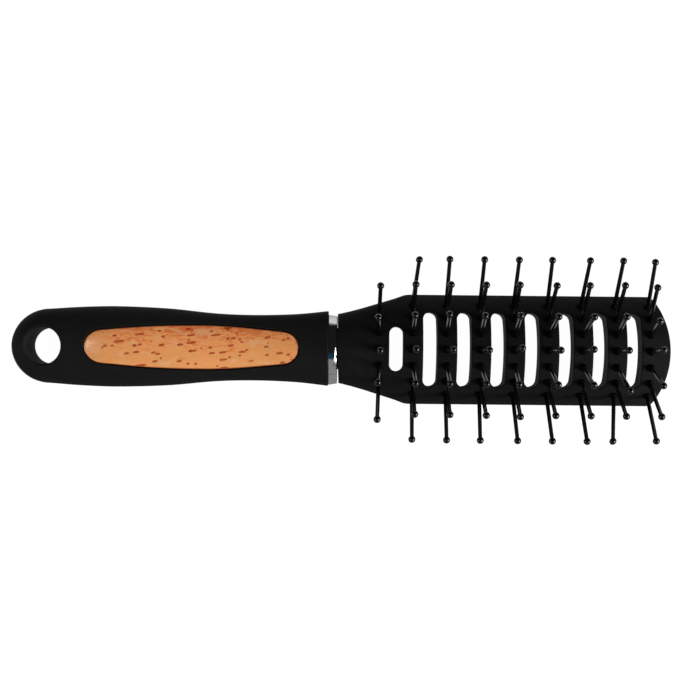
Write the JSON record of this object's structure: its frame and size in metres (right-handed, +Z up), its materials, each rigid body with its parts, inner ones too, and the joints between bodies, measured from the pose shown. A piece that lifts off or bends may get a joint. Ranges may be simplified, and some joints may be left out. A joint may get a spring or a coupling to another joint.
{
  "type": "hair brush",
  "caption": "Vented hair brush: arched slotted head with rows of ball-tipped pins, short bright collar, and a soft handle with an oval wood inlay and a hang hole.",
  "frame": {"origin": "under the middle of the brush, on the surface it lies on with its pins up", "axes": "+X from the tail of the handle to the end of the head, +Y across the brush, +Z up, the way the middle pins point"},
  "size_m": [0.2228, 0.062, 0.0362],
  "materials": {
    "soft_grip": "matte soft-touch black",
    "core_plastic": "moulded black",
    "inlay_wood": "satin lacquered warm beech",
    "collar_chrome": "bright plated",
    "head_plastic": "satin black",
    "pin_plastic": "glossy black"
  },
  "bodies": {
    "root": {"grip_sleeve": "soft_grip", "handle_core": "core_plastic", "wood_inlay": "inlay_wood", "chrome_collar": "collar_chrome", "head_frame": "head_plastic", "head_back_plate": "head_plastic", "pin_strip_1": "pin_plastic", "pin_strip_2": "pin_plastic", "pin_strip_3": "pin_plastic", "pin_strip_4": "pin_plastic", "pin_strip_5": "pin_plastic", "pin_strip_6": "pin_plastic", "pin_strip_7": "pin_plastic", "pin_strip_8": "pin_plastic", "pin_strip_9": "pin_plastic"}
  },
  "joints": []
}
